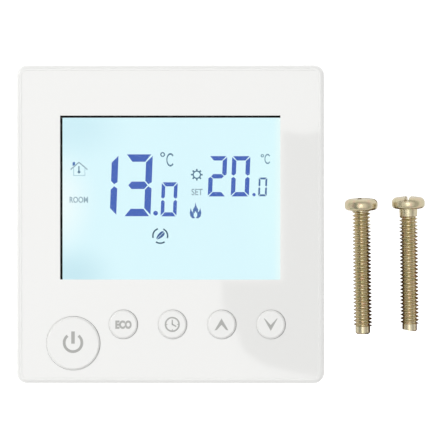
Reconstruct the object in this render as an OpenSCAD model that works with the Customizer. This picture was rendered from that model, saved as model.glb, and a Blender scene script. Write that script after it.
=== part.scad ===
// Programmable room thermostat for a flush wall box, with its two fixing screws beside it.
// Lies on its back: +Z out of the display, +Y the display's top, z = 0 the rear housing's back.

/* [Face] */
// Width of the face
face_w = 87; // [84:0.5:105]
// Height of the face
face_h = 90; // [86:0.5:94]
// Height of the face above the wall
front_h = 13.5; // [13.5:0.5:18]
// Corner radius seen from the front
corner_r = 3.0; // [2.8:0.1:6]
// Radius of the front edge
edge_r = 1.0; // [0.6:0.1:1.2]
// Width of the raised rim round the face
rim_w = 1.4; // [1.2:0.1:1.6]
// Height of the raised rim
rim_h = 0.1; // [0.05:0.05:0.2]
// How much the side walls lean in
wall_lean = 0.1; // [0.1:0.1:0.6]
// Wall of the front cover
cover_wall = 2.0; // [1.8:0.1:2.2]
// Thickness of the face
cover_top = 2.0; // [1.6:0.1:2.2]

/* [Window] */
// Width of the display window
window_w = 62.2; // [51.8:0.2:63]
// Height of the display window
window_h = 46.3; // [40:0.2:47]
// Height of the window's centre above the face's centre
window_y = 7.55; // [5:0.05:9]
// Width of the dark strip seen at the left and top of the window
strip = 0.5; // [0.2:0.1:0.6]
// Gap between the window and its pane
pane_gap = 0.15; // [0.1:0.05:0.3]

/* [Buttons] */
// Diameter of the large button's hole
power_d = 15.2; // [13:0.1:15.4]
// Diameter of the four small holes
key_d = 8.2; // [6.8:0.1:8.6]
// Distance between the small buttons
key_pitch = 13.9; // [12.6:0.1:14.2]
// Height of the small buttons' row, from the face's centre
key_y = -28.25; // [-30:0.25:-27.5]
// Height of the large button, from the face's centre
power_y = -33.6; // [-34:0.1:-32.6]
// Running gap round each button, in its hole
key_gap = 0.05; // [0.03:0.01:0.1]
// Width of the shallow groove seen round each button
groove_w = 0.25; // [0.2:0.05:0.35]
// Depth of that groove below the face
groove_deep = 0.05; // [0.05:0.05:0.3]
// How far the buttons sit to the left in their holes
key_aside = 0.07; // [0.04:0.01:0.1]
// How far the buttons stand out of the face
key_up = 0.3; // [0.2:0.05:0.5]
// Travel of the buttons
key_travel = 0.5; // [0.3:0.1:0.6]

/* [Rear housing] */
// Width of the housing that goes into the wall box
rear_w = 46; // [46:0.5:47]
// Height of the housing that goes into the wall box
rear_h = 52; // [52:0.5:54]
// Depth of the housing behind the wall
rear_d = 29.5; // [29.5:0.5:36]
// Wall of the rear housing
rear_wall = 1.8; // [1.5:0.1:1.9]
// Distance between the two box screws
box_pitch = 60; // [60:0.1:60.5]
// Width of the slots for the box screws
slot_w = 6.2; // [6:0.1:6.6]
// Length of the slots, end to end
slot_l = 8.0; // [7.6:0.1:9]
// Thickness of the steel mounting frame
frame_t = 1.2; // [1:0.1:1.4]

/* [Terminals] */
// Distance between the terminals
pole_pitch = 7.5; // [6.2:0.05:7.5]
// Lift of the terminal clamps
clamp_travel = 2.4; // [2:0.1:2.5]

/* [Fixing screws] */
// Thread diameter of the fixing screws
screw_d = 5.4; // [4.5:0.1:5.6]
// Length under the head
screw_len = 35.9; // [24:0.1:45]
// Distance between the thread's turns
thread_pitch = 1.05; // [0.8:0.05:1.2]
// Head diameter
head_d = 9.6; // [8.6:0.1:10]
// Head height
head_h = 3.5; // [3:0.1:4]
// How far beside the face the left screw's axis lies
screw_beside = 10.4; // [9:0.1:20]
// Plain neck under the right screw's head
neck_l = 2.3; // [1:0.1:4]
// Distance between the two screws
screw_gap = 13.6; // [12:0.1:18]

/* [Hidden] */
$fn = 64;
eps = 0.01;
poles = 6;
run_gap = 0.05;

// levels, from the back
wall_z = rear_d;
face_z = wall_z + front_h;
frame_top = wall_z + frame_t;
flange_t = 1.8;
flange_top = frame_top + flange_t;
under_face = face_z - cover_top;
lens_t = 0.8;
holder_top = under_face - lens_t;
lip_t = 0.6;
glass_t = 2.0;
glass_z = holder_top - lip_t - glass_t;
light_t = 2.2;
board_t = 1.6;
dboard_top = glass_z - light_t;
dboard_z = dboard_top - board_t;
cover_z = wall_z + 0.3;

// face sizes that follow
board_w = face_w - 2 * cover_wall - 5;
board_h = face_h - 2 * cover_wall - 6;
frame_w = face_w - 6;
frame_h = face_h - 6;
holder_w = window_w + 5.8;
holder_h = window_h + 5.7;
glass_w = window_w + 2.2;
glass_h = window_h + 1.5;
post_x = board_w / 2 - 2.2;
post_y_top = board_h / 2 - 3;
post_y_low = window_y - holder_h / 2 - 1.6;

// buttons
key_x = [0.6 - key_pitch, 0.6, 0.6 + key_pitch, 0.6 + 2 * key_pitch];
power_x = key_x[0] - power_d / 2 - 6.55;
switch_h = 3.2;
switch_top = dboard_top + switch_h;
cap_flange_t = 0.7;
cap_flange_z = under_face - 0.1 - cap_flange_t;
plunger_top = cap_flange_z - 0.7;

// rear housing and boards
block_h = 14.2;
block_z = 0.8;
block_top = block_z + block_h;
step_z = block_top + 0.4;
shelf_t = 2.2;
pboard_z = step_z + shelf_t;
pboard_top = pboard_z + board_t;
step_y = -rear_h / 2 + 11.4;
block_y0 = -rear_h / 2;
block_y1 = step_y - 0.6;
flange_w = rear_w + 4;
flange_h = rear_h + 10;
in_w = rear_w - 2 * rear_wall;
in_h = rear_h - 2 * rear_wall;
pboard_w = in_w - 0.4;
pboard_h = in_h - 0.4;
header_x = -10;
header_y = 18;
header_cols = 5;
header_pitch = 2.54;
socket_h = 8.5;

// terminals
pole_x = [for (i = [0:poles - 1]) (i - (poles - 1) / 2) * pole_pitch];
pole_y = block_y0 + 5.4;
bar_z = block_z + 7.6;
bar_t = 0.8;
clamp_z = bar_z - 1.4;
clamp_wall = 1.2;
clamp_top = clamp_z + 6.6;
tscrew_d = 2.5;
tscrew_head_z = block_z + 0.6;
tshelf_z = block_z + 2.8;
tshelf_t = 0.8;

// loose screws
screw_x = face_w / 2 + screw_beside;
core_d = screw_d - 1.5 * thread_pitch;
dog_l = 2.3;
dog_d = screw_d * 0.78;
rim_up = 1.5;
screw_tilt = atan((head_d - screw_d) / 2 / (screw_len - dog_l - thread_pitch / 2 + rim_up));
screw_up = head_d / 2 * cos(screw_tilt) - rim_up * sin(screw_tilt);

// a flat slab with round corners
module slab(w, h, t, r) {
    linear_extrude(t)
        union() {
            square([w - 2 * r, h], center = true);
            square([w, h - 2 * r], center = true);
            for (x = [-1, 1])
                for (y = [-1, 1])
                    translate([x * (w / 2 - r), y * (h / 2 - r)])
                        circle(r);
        }
}

// a slot along X with round ends
module slot(l, w, t) {
    linear_extrude(t)
        union() {
            square([l - w, w], center = true);
            for (s = [-1, 1])
                translate([s * (l - w) / 2, 0])
                    circle(w / 2);
        }
}

// takes a section (x outwards from the corner's centre, y up) round a rectangle of size w, h
module round_frame(w, h, r) {
    for (q = [0, 1]) {
        rotate([0, 0, 180 * q]) {
            translate([-(w / 2 - r), h / 2 - r, 0])
                rotate([90, 0, 90])
                    linear_extrude(w - 2 * r)
                        children();
            translate([w / 2 - r, h / 2 - r, 0])
                rotate_extrude(angle = 90)
                    children();
            translate([w / 2 - r, h / 2 - r, 0])
                rotate([90, 0, 0])
                    linear_extrude(h - 2 * r)
                        children();
            translate([-(w / 2 - r), h / 2 - r, 0])
                rotate([0, 0, 90])
                    rotate_extrude(angle = 90)
                        children();
        }
    }
}

module at_posts() {
    for (s = [-1, 1]) {
        translate([s * post_x, post_y_top, 0])
            children();
        translate([s * post_x, post_y_low, 0])
            children();
    }
}

// section of the cover's wall with its leaning side and round front edge
module cover_section() {
    r = corner_r;
    rim_z = face_z + rim_h;
    union() {
        polygon([
            [r - cover_wall - wall_lean, cover_z],
            [r, cover_z],
            [r - wall_lean, rim_z - edge_r],
            [r - wall_lean - edge_r, rim_z],
            [r - wall_lean - rim_w, rim_z],
            [r - wall_lean - rim_w - 0.12, face_z],
            [r - cover_wall - wall_lean, face_z]
        ]);
        intersection() {
            translate([r - wall_lean - edge_r, rim_z - edge_r])
                circle(edge_r);
            translate([r - wall_lean - edge_r, rim_z - edge_r])
                square([edge_r, edge_r]);
        }
    }
}

module front_cover() {
    in_x = face_w / 2 - cover_wall - wall_lean;
    in_y = face_h / 2 - cover_wall - wall_lean;
    rib_h = under_face - frame_top;
    color([0.94, 0.94, 0.93])
        difference() {
            union() {
                round_frame(face_w, face_h, corner_r)
                    cover_section();
                translate([0, 0, under_face])
                    slab(2 * in_x + 0.4, 2 * in_y + 0.4, cover_top, corner_r - cover_wall + 0.2);
                // posts that carry the display board
                at_posts()
                    translate([0, 0, dboard_top])
                        cylinder(d = 4.2, h = under_face - dboard_top + eps);
                // ribs that rest on the steel frame
                for (s = [-1, 1]) {
                    for (y = [-0.28, 0.28])
                        translate([s * (in_x - 0.9) - 1.1, y * face_h - 1.5, frame_top])
                            cube([2.2, 3, rib_h + eps]);
                    for (x = [-0.42, 0.42])
                        translate([x * face_w - 1.5, s * (in_y - 0.9) - 1.1, frame_top])
                            cube([3, 2.2, rib_h + eps]);
                }
            }
            // window
            translate([0, window_y, face_z])
                cube([window_w, window_h, 4 * cover_top], center = true);
            // button holes
            for (x = key_x)
                translate([x + key_aside, key_y, under_face - 1])
                    cylinder(d = key_d + 2 * key_aside, h = cover_top + 2);
            translate([power_x + key_aside, power_y, under_face - 1])
                cylinder(d = power_d + 2 * key_aside, h = cover_top + 2);
            // screw holes in the posts
            at_posts()
                translate([0, 0, dboard_top - 1])
                    cylinder(d = 1.8, h = 5.6);
            // air slits at the lower and upper edges
            for (s = [-1, 1])
                for (i = [-4:4])
                    translate([i * 5, s * face_h / 2, cover_z + 5.2])
                        cube([1.4, 8, 5], center = true);
            // notch for a flat blade at the lower edge
            translate([0, -face_h / 2, cover_z])
                cube([8, 3, 1.6], center = true);
        }
}

module window_lens() {
    color([0.9, 0.96, 1.0, 0.35])
        union() {
            translate([0, window_y, holder_top + lens_t / 2])
                cube([window_w + 4, window_h + 4, lens_t], center = true);
            translate([0, window_y, holder_top + lens_t / 2 + (cover_top - 0.35) / 2])
                cube([window_w - 2 * pane_gap, window_h - 2 * pane_gap,
                    lens_t + cover_top - 0.35], center = true);
        }
}

module lcd_holder() {
    high = holder_top - dboard_top;
    color([0.09, 0.1, 0.09])
        difference() {
            translate([0, window_y, dboard_top])
                slab(holder_w, holder_h, high, 1);
            // pocket for glass and light plate
            translate([0, window_y, dboard_top + (high - lip_t) / 2 - 1])
                cube([holder_w - 3, holder_h - 3, high - lip_t + 2], center = true);
            // sight opening, set to the right and down so that a strip shows left and top
            translate([strip / 2 + 0.5, window_y - 0.6 * strip - 0.3, holder_top])
                cube([window_w - strip + 1, window_h - 1.2 * strip + 0.6, 4], center = true);
        }
}

module lcd_glass() {
    color([0.78, 0.9, 0.94])
        translate([0, window_y, glass_z + glass_t / 2])
            union() {
                cube([glass_w, glass_h, glass_t - 0.5], center = true);
                // polarisers front and back
                for (s = [-1, 1])
                    translate([0, 0.4, s * (glass_t / 2 - 0.2)])
                        cube([glass_w - 0.6, glass_h - 1.4, 0.4], center = true);
            }
}

module backlight_plate() {
    color([0.95, 0.98, 0.98])
        translate([0, window_y, dboard_top + light_t / 2])
            union() {
                cube([window_w + 0.8, window_h + 0.2, light_t], center = true);
                // lamp housing on the right
                translate([window_w / 2 + 0.8, 0, -0.2])
                    cube([1.0, window_h - 8, light_t - 0.4], center = true);
            }
}

module lcd_pins() {
    n = floor((glass_w - 6) / 2.54);
    color([0.75, 0.76, 0.78])
        for (i = [0:n])
            translate([(i - n / 2) * 2.54, window_y - glass_h / 2 - 0.2, dboard_top])
                translate([-0.2, -0.2, 0])
                    cube([0.4, 0.4, glass_z + glass_t - 0.6 - dboard_top]);
}

module display_board() {
    color([0.1, 0.38, 0.2])
        difference() {
            translate([0, 0, dboard_z])
                slab(board_w, board_h, board_t, 1);
            at_posts()
                translate([0, 0, dboard_z - 1])
                    cylinder(d = 2.3, h = board_t + 2);
        }
}

module microcontroller() {
    color([0.12, 0.12, 0.13])
        union() {
            translate([-2, -2, dboard_z - 0.8])
                cube([10, 10, 1.2], center = true);
            // leads down four sides
            for (q = [0:3])
                translate([-2, -2, dboard_z])
                    rotate([0, 0, 90 * q])
                        for (i = [-5:5])
                            translate([4.8, i * 0.8 - 0.15, -0.75])
                                union() {
                                    cube([0.7, 0.3, 0.25]);
                                    translate([0.45, 0, 0])
                                        cube([0.25, 0.3, 0.75]);
                                }
        }
}

module crystal() {
    color([0.8, 0.8, 0.82])
        translate([-4, -15, dboard_z - 3.4])
            union() {
                slab(10.2, 4.2, 3.2, 2.0);
                translate([0, 0, 3.0])
                    slab(11, 4.8, 0.4, 2.3);
            }
}

module room_sensor() {
    color([0.1, 0.1, 0.1])
        translate([30, -board_h / 2, dboard_z])
            union() {
                translate([0, -1.2, -0.4])
                    sphere(1.2);
                for (s = [-1, 1])
                    translate([s * 0.7 - 0.2, -0.8, -0.4])
                        cube([0.4, 4, 0.4]);
            }
}

module backup_cell() {
    color([0.82, 0.82, 0.8])
        translate([12, 12, dboard_z])
            union() {
                translate([0, 0, -2.4])
                    cylinder(d = 12.5, h = 2.0);
                translate([0, 0, -2.6])
                    cylinder(d = 9.8, h = 0.4);
                // two spot welded tabs up to the board
                for (s = [-1, 1])
                    translate([s * 6.3 - 1, -1.5, -2.0])
                        cube([2, 3, 2.0]);
            }
}

module buzzer() {
    color([0.1, 0.1, 0.11])
        translate([12, -8, dboard_z - 4.6])
            difference() {
                cylinder(d = 9, h = 4.6);
                translate([0, 0, -1])
                    cylinder(d = 1.6, h = 2.2);
            }
}

module at_header_pins() {
    for (i = [0:header_cols - 1])
        for (j = [0, 1])
            translate([header_x + (i - (header_cols - 1) / 2) * header_pitch,
                    header_y + (j - 0.5) * header_pitch, 0])
                children();
}

module board_header() {
    body_t = 2.5;
    color([0.12, 0.12, 0.12])
        union() {
            translate([header_x, header_y, dboard_z - body_t / 2])
                cube([header_cols * header_pitch, 2 * header_pitch, body_t], center = true);
            at_header_pins()
                translate([-0.32, -0.32, pboard_top + 3])
                    cube([0.64, 0.64, dboard_z - pboard_top - 3.5]);
        }
}

module board_screws() {
    color([0.72, 0.72, 0.74])
        at_posts()
            difference() {
                union() {
                    translate([0, 0, dboard_z - 1.2])
                        cylinder(d = 3.8, h = 1.2);
                    translate([0, 0, dboard_z - 0.5])
                        cylinder(d = 1.7, h = board_t + 4.5);
                }
                for (q = [0, 90])
                    translate([0, 0, dboard_z - 1.2])
                        rotate([0, 0, q])
                            cube([2.2, 0.5, 1.2], center = true);
            }
}

// tactile switch: square case, round hole for the plunger, four legs
module key_switch(x, y) {
    color([0.16, 0.16, 0.17])
        translate([x, y, dboard_top])
            difference() {
                union() {
                    translate([0, 0, switch_h / 2])
                        cube([6, 6, switch_h], center = true);
                    for (sx = [-1, 1])
                        for (sy = [-1, 1])
                            translate([sx * 3.3 - 0.35, sy * 2.25 - 0.35, 0])
                                cube([0.7, 0.7, 1.6]);
                }
                translate([0, 0, 0.9])
                    cylinder(d = 3.5, h = switch_h);
            }
}

module plunger(x, y) {
    color([0.14, 0.14, 0.15])
        translate([x, y, dboard_top + 0.9 + key_travel + 0.2])
            cylinder(d = 3.4 - 2 * run_gap, h = plunger_top - dboard_top - 0.9 - key_travel - 0.2);
}

// button cap: soft-edged head inside a shallow groove, guided skirt, retaining flange and stem
module key_cap(x, y, hole) {
    d = hole - 2 * key_gap;
    top = face_z + key_up;
    head_r = hole / 2 - groove_w;
    soft = 0.3;
    color([0.95, 0.95, 0.94])
        translate([x, y, 0])
            rotate_extrude()
                union() {
                    polygon([
                        [0, plunger_top],
                        [2, plunger_top],
                        [2, cap_flange_z],
                        [hole / 2 + 0.7, cap_flange_z],
                        [hole / 2 + 0.7, cap_flange_z + cap_flange_t],
                        [d / 2, cap_flange_z + cap_flange_t],
                        [d / 2, face_z - groove_deep],
                        [head_r, face_z - groove_deep],
                        [head_r, top - soft],
                        [head_r - soft, top - soft],
                        [head_r - soft, top],
                        [0, top]
                    ]);
                    intersection() {
                        translate([head_r - soft, top - soft])
                            circle(soft);
                        translate([head_r - soft, top - soft])
                            square([soft, soft]);
                    }
                }
}

module at_base_screws() {
    for (sx = [-1, 1])
        for (sy = [-1, 1])
            translate([sx * (rear_w / 2 - 4), sy * (rear_h / 2 + 2.7), 0])
                children();
}

module at_board_posts() {
    for (s = [-1, 1])
        translate([s * (in_w / 2 - 2.6), in_h / 2 - 2.6, 0])
            children();
}

module rear_housing() {
    color([0.93, 0.93, 0.92])
        difference() {
            union() {
                difference() {
                    union() {
                        slab(rear_w, rear_h, flange_top, 2.5);
                        translate([0, 0, frame_top])
                            slab(flange_w, flange_h, flange_t, 3);
                    }
                    // inside, deep part
                    translate([-in_w / 2, step_y + rear_wall, rear_wall])
                        cube([in_w, in_h / 2 - step_y - rear_wall, flange_top]);
                    // inside, shallow part over the terminals
                    translate([-in_w / 2, -in_h / 2, pboard_z])
                        cube([in_w, in_h, flange_top]);
                }
                at_board_posts()
                    translate([0, 0, rear_wall - eps])
                        cylinder(d = 4, h = pboard_z - rear_wall + eps);
            }
            // step for the terminal block, open at the back and below
            translate([-rear_w, -rear_h, -1])
                cube([2 * rear_w, rear_h + step_y, step_z + 1]);
            // holes for the terminal legs
            for (x = pole_x)
                translate([x, block_y1 - 1, step_z - 1])
                    cylinder(d = 1.9, h = shelf_t + 2);
            at_board_posts()
                translate([0, 0, pboard_z - 8])
                    cylinder(d = 1.9, h = 9);
            at_base_screws()
                translate([0, 0, frame_top - 1])
                    cylinder(d = 2.7, h = flange_t + 2);
            // recess for the rating label
            translate([0, rear_h / 2 - 12.5, 0])
                cube([rear_w - 8, 17, 0.4], center = true);
            // air slits in the upper wall
            for (i = [-3:3])
                translate([i * 5, rear_h / 2, 20.4])
                    cube([1.6, 8, 7], center = true);
        }
}

module mounting_frame() {
    color([0.72, 0.73, 0.75])
        translate([0, 0, wall_z])
            difference() {
                slab(frame_w, frame_h, frame_t, 2.5);
                translate([0, 0, frame_t / 2])
                    cube([rear_w + 0.6, rear_h + 0.6, 3 * frame_t], center = true);
                // slots for the box screws
                for (s = [-1, 1])
                    translate([s * box_pitch / 2, 0, -1])
                        slot(slot_l, slot_w, frame_t + 2);
                translate([0, 0, -wall_z])
                    at_base_screws()
                        translate([0, 0, wall_z - 1])
                            cylinder(d = 2.4 + 2 * run_gap, h = frame_t + 2);
                // lightening windows beside the housing
                for (sx = [-1, 1])
                    for (sy = [-1, 1])
                        translate([sx * (frame_w / 2 + rear_w / 2) / 2, sy * frame_h * 0.27, -1])
                            slab(9, 14, frame_t + 2, 1.5);
            }
}

module base_screws() {
    color([0.72, 0.72, 0.74]) {
        at_base_screws()
            difference() {
                union() {
                    translate([0, 0, flange_top])
                        cylinder(d = 4.2, h = 1.0);
                    translate([0, 0, wall_z])
                        cylinder(d = 2.4, h = flange_top - wall_z + eps);
                }
                for (q = [0, 90])
                    translate([0, 0, flange_top + 1.0])
                        rotate([0, 0, q])
                            cube([2.4, 0.5, 1.2], center = true);
            }
        at_board_posts()
            difference() {
                union() {
                    translate([0, 0, pboard_top])
                        cylinder(d = 4, h = 1.4);
                    translate([0, 0, pboard_z - 6])
                        cylinder(d = 1.8, h = board_t + 6 + eps);
                }
                for (q = [0, 90])
                    translate([0, 0, pboard_top + 1.4])
                        rotate([0, 0, q])
                            cube([2.2, 0.5, 1.4], center = true);
            }
    }
}

module power_board() {
    color([0.72, 0.6, 0.32])
        difference() {
            translate([0, 0, pboard_z + board_t / 2])
                cube([pboard_w, pboard_h, board_t], center = true);
            at_board_posts()
                translate([0, 0, pboard_z - 1])
                    cylinder(d = 2.2, h = board_t + 2);
        }
}

module board_socket() {
    color([0.1, 0.1, 0.1])
        difference() {
            translate([header_x, header_y, pboard_top + socket_h / 2])
                cube([header_cols * header_pitch + 0.5, 2 * header_pitch, socket_h], center = true);
            at_header_pins()
                translate([-0.5, -0.5, pboard_top + 2.4])
                    cube([1.0, 1.0, socket_h]);
        }
}

relay_x = -12.4;
relay_y = 2.4;
relay_h = 15.3;

module relay_case() {
    color([0.12, 0.2, 0.45])
        translate([relay_x, relay_y, pboard_z - relay_h])
            difference() {
                translate([-7.6, -9.5, 0])
                    cube([15.2, 19, relay_h]);
                translate([-6.8, -8.7, 0.8])
                    cube([13.6, 17.4, relay_h]);
            }
}

module relay_coil() {
    color([0.72, 0.36, 0.14])
        translate([relay_x, relay_y + 2.2, pboard_z])
            union() {
                for (z = [-2.0, -11.2])
                    translate([-5.4, -5.2, z])
                        cube([10.8, 10.4, 1.0]);
                translate([0, 0, -11])
                    cylinder(d = 9.4, h = 10);
                translate([0, 0, -12.4])
                    cylinder(d = 4, h = 2);
            }
}

module relay_yoke() {
    color([0.66, 0.67, 0.7])
        translate([relay_x, relay_y, pboard_z])
            union() {
                translate([-5, -4.6, -12.85])
                    cube([10, 1.2, 12.85]);
                translate([-5, -4.6, -1.0])
                    cube([10, 12.2, 1.0]);
            }
}

module relay_armature() {
    color([0.6, 0.61, 0.64])
        translate([relay_x, relay_y, pboard_z])
            union() {
                translate([-4.8, -4.6, -14.0])
                    cube([9.6, 10.8, 1.0]);
                // moving contact blade
                translate([-2, -6.6, -14.0])
                    cube([4, 2.1, 0.4]);
            }
}

module supply_module() {
    color([0.9, 0.83, 0.35])
        translate([9.6, 11.4, pboard_z])
            union() {
                // wound middle
                translate([0, 0, -7.4])
                    cube([14, 15, 9], center = true);
                // core halves
                for (s = [-1, 1])
                    translate([s * 8.4, 0, -7.4])
                        cube([3.2, 9, 13], center = true);
                translate([0, 0, -1.5])
                    cube([20, 16, 3], center = true);
                translate([0, 0, -13])
                    cube([20, 16, 2], center = true);
            }
}

module main_capacitor() {
    color([0.1, 0.12, 0.2])
        translate([0.8, -4.6, pboard_z - 12])
            difference() {
                cylinder(d = 8, h = 12);
                // score marks in the top
                for (q = [0, 90])
                    rotate([0, 0, q])
                        cube([6, 0.3, 0.4], center = true);
                translate([0, 0, 10.2])
                    rotate_extrude()
                        translate([4.1, 0])
                            circle(0.4);
            }
}

module film_capacitor() {
    color([0.8, 0.68, 0.2])
        translate([13.4, -3, pboard_z - 11])
            slab(12.6, 5, 11, 0.6);
}

module varistor() {
    color([0.15, 0.35, 0.55])
        translate([13.4, -9.2, pboard_z - 5.2])
            union() {
                rotate([90, 0, 0])
                    cylinder(d = 7.4, h = 3, center = true);
                for (s = [-1, 1])
                    translate([s * 2.5 - 0.35, -0.35, 0])
                        cube([0.7, 0.7, 5.2]);
            }
}

module fuse() {
    color([0.55, 0.35, 0.25])
        translate([2, -10.9, pboard_z - 1.7])
            union() {
                rotate([0, 90, 0])
                    cylinder(d = 3.2, h = 9, center = true);
                for (s = [-1, 1])
                    translate([s * 5 - 0.35, -0.35, -0.35])
                        cube([0.7, 0.7, 2.05]);
                rotate([0, 90, 0])
                    cylinder(d = 0.7, h = 10.6, center = true);
            }
}

module terminal_block() {
    color([0.12, 0.42, 0.26])
        difference() {
            translate([-poles * pole_pitch / 2 - 0.05, block_y0, block_z])
                cube([poles * pole_pitch + 0.1, block_y1 - block_y0, block_h]);
            for (x = pole_x) {
                // head hole and shank hole
                translate([x, pole_y, block_z - 1])
                    cylinder(d = 4.6, h = 1 + tshelf_z - block_z);
                translate([x, pole_y, block_z])
                    cylinder(d = 3.2, h = 6);
                // space the clamp moves in
                translate([x - 2.95, pole_y - 3, tshelf_z + tshelf_t])
                    cube([5.9, 6, clamp_top + 0.3 - tshelf_z - tshelf_t]);
                // wire entry
                translate([x - 1.7, block_y0 - 1, bar_z + bar_t + 0.1])
                    cube([3.4, 5, 3.2]);
                // seat for the contact bar and its leg
                translate([x - 1.9, pole_y, bar_z - 0.1])
                    cube([3.8, block_y1 - 0.3 - pole_y, bar_t + 0.2]);
                translate([x, block_y1 - 1, bar_z])
                    cylinder(d = 1.3, h = block_h);
            }
        }
}

module terminal_contacts() {
    color([0.8, 0.66, 0.32])
        for (x = pole_x)
            union() {
                translate([x - 1.8, pole_y - 2.8, bar_z])
                    cube([3.6, block_y1 - 0.4 - pole_y + 2.8, bar_t]);
                translate([x, block_y1 - 1, bar_z])
                    cylinder(d = 1.1, h = pboard_z - bar_z);
            }
}

module terminal_screw(i) {
    color([0.78, 0.78, 0.8])
        translate([pole_x[i], pole_y, 0])
            difference() {
                union() {
                    translate([0, 0, tscrew_head_z])
                        cylinder(d = 4, h = tshelf_z - 0.2 - tscrew_head_z);
                    translate([0, 0, tscrew_head_z + 1])
                        cylinder(d = tscrew_d, h = bar_z - 0.1 - tscrew_head_z - 1);
                }
                translate([0, 0, tscrew_head_z])
                    cube([5, 0.8, 2], center = true);
            }
}

module terminal_clamp(i) {
    color([0.74, 0.75, 0.77])
        translate([pole_x[i], pole_y, 0])
            difference() {
                translate([-2.65, -2.5, clamp_z])
                    cube([5.3, 5, clamp_top - clamp_z]);
                translate([-1.9, -3, clamp_z + clamp_wall])
                    cube([3.8, 6, clamp_top - clamp_z - clamp_wall - 1]);
                translate([0, 0, clamp_z - 1])
                    cylinder(d = tscrew_d + 2 * run_gap, h = clamp_wall + 1.5);
            }
}

// pan head machine screw along -Y from its bearing face, thread drawn as turned ridges
module machine_screw(slot_turn, long, neck, dog, cut) {
    r1 = screw_d / 2;
    r0 = core_d / 2;
    hr = head_d / 2;
    turns = floor((long - dog - neck) / thread_pitch);
    from = long - dog - turns * thread_pitch;
    flat = thread_pitch * 0.1;
    rise = thread_pitch * 0.4;
    low_r = 1.1;
    high_r = 1.5;
    crown = 0.25;
    rotate([90, 0, 0])
        difference() {
            union() {
                rotate_extrude()
                    polygon(concat(
                        [[0, -1], [r1 * 0.98, -1], [r1 * 0.98, 0.3], [r1 * 0.95, from - 0.2], [r0, from]],
                        [for (i = [0:turns - 1]) for (p = [
                            [r0, from + i * thread_pitch + flat],
                            [r1, from + i * thread_pitch + flat + rise],
                            [r1, from + i * thread_pitch + 2 * flat + rise],
                            [r0, from + (i + 1) * thread_pitch]]) p],
                        [[dog_d / 2, long - dog + 0.05],
                            [dog_d / 2, long - 0.4],
                            [dog_d / 2 - 0.4, long],
                            [0, long]]));
                // head: rounded rim and a low crown
                rotate_extrude()
                    union() {
                        polygon([
                            [0, 0],
                            [hr - low_r, 0],
                            [hr, -low_r],
                            [hr, -(head_h - high_r - crown)],
                            [hr - high_r, -(head_h - crown)],
                            [0, -head_h]
                        ]);
                        translate([hr - low_r, -low_r])
                            circle(low_r);
                        translate([hr - high_r, -(head_h - high_r - crown)])
                            circle(high_r);
                    }
            }
            // slot across the head
            rotate([0, 0, slot_turn])
                translate([0, 0, -head_h])
                    cube([head_d + 2, 1.3, 2.6], center = true);
            // cross arm
            rotate([0, 0, slot_turn + 90])
                translate([0, 0, -head_h])
                    cube([head_d * 0.55, 1.2, 3.2], center = true);
            // sheared tip
            translate([0, 0, long - abs(tan(cut)) * dog_d / 2])
                rotate([0, cut, 0])
                    translate([0, 0, 2])
                        cube([3 * screw_d, 3 * screw_d, 4], center = true);
        }
}

module fixing_screw_left() {
    color([0.8, 0.7, 0.45])
        translate([screw_x, 3.6, screw_up])
            rotate([0, 0, 0.8])
                rotate([screw_tilt, 0, 0])
                    machine_screw(12, screw_len, 0.4, dog_l, 0);
}

module fixing_screw_right() {
    color([0.8, 0.7, 0.45])
        translate([screw_x + screw_gap, 4.1, screw_up])
            rotate([0, 0, 0.7])
                rotate([screw_tilt, 0, 0])
                    machine_screw(97, screw_len - 0.2, neck_l, dog_l, -10);
}

front_cover();
window_lens();
lcd_holder();
lcd_glass();
backlight_plate();
lcd_pins();
display_board();
microcontroller();
crystal();
room_sensor();
backup_cell();
buzzer();
board_header();
board_screws();
key_switch(power_x, power_y);  // switch_power
key_switch(key_x[0], key_y);  // switch_eco
key_switch(key_x[1], key_y);  // switch_clock
key_switch(key_x[2], key_y);  // switch_up
key_switch(key_x[3], key_y);  // switch_down
key_cap(power_x, power_y, power_d);  // button_power
key_cap(key_x[0], key_y, key_d);  // button_eco
key_cap(key_x[1], key_y, key_d);  // button_clock
key_cap(key_x[2], key_y, key_d);  // button_up
key_cap(key_x[3], key_y, key_d);  // button_down
plunger(power_x, power_y);  // plunger_power
plunger(key_x[0], key_y);  // plunger_eco
plunger(key_x[1], key_y);  // plunger_clock
plunger(key_x[2], key_y);  // plunger_up
plunger(key_x[3], key_y);  // plunger_down
rear_housing();
mounting_frame();
base_screws();
power_board();
board_socket();
relay_case();
relay_coil();
relay_yoke();
relay_armature();
supply_module();
main_capacitor();
film_capacitor();
varistor();
fuse();
terminal_block();
terminal_contacts();
terminal_screw(0);  // terminal_screw_1
terminal_screw(1);  // terminal_screw_2
terminal_screw(2);  // terminal_screw_3
terminal_screw(3);  // terminal_screw_4
terminal_screw(4);  // terminal_screw_5
terminal_screw(5);  // terminal_screw_6
terminal_clamp(0);  // terminal_clamp_1
terminal_clamp(1);  // terminal_clamp_2
terminal_clamp(2);  // terminal_clamp_3
terminal_clamp(3);  // terminal_clamp_4
terminal_clamp(4);  // terminal_clamp_5
terminal_clamp(5);  // terminal_clamp_6
fixing_screw_left();
fixing_screw_right();
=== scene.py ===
import math

import bmesh
import bpy
from mathutils import Matrix, Vector


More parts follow.
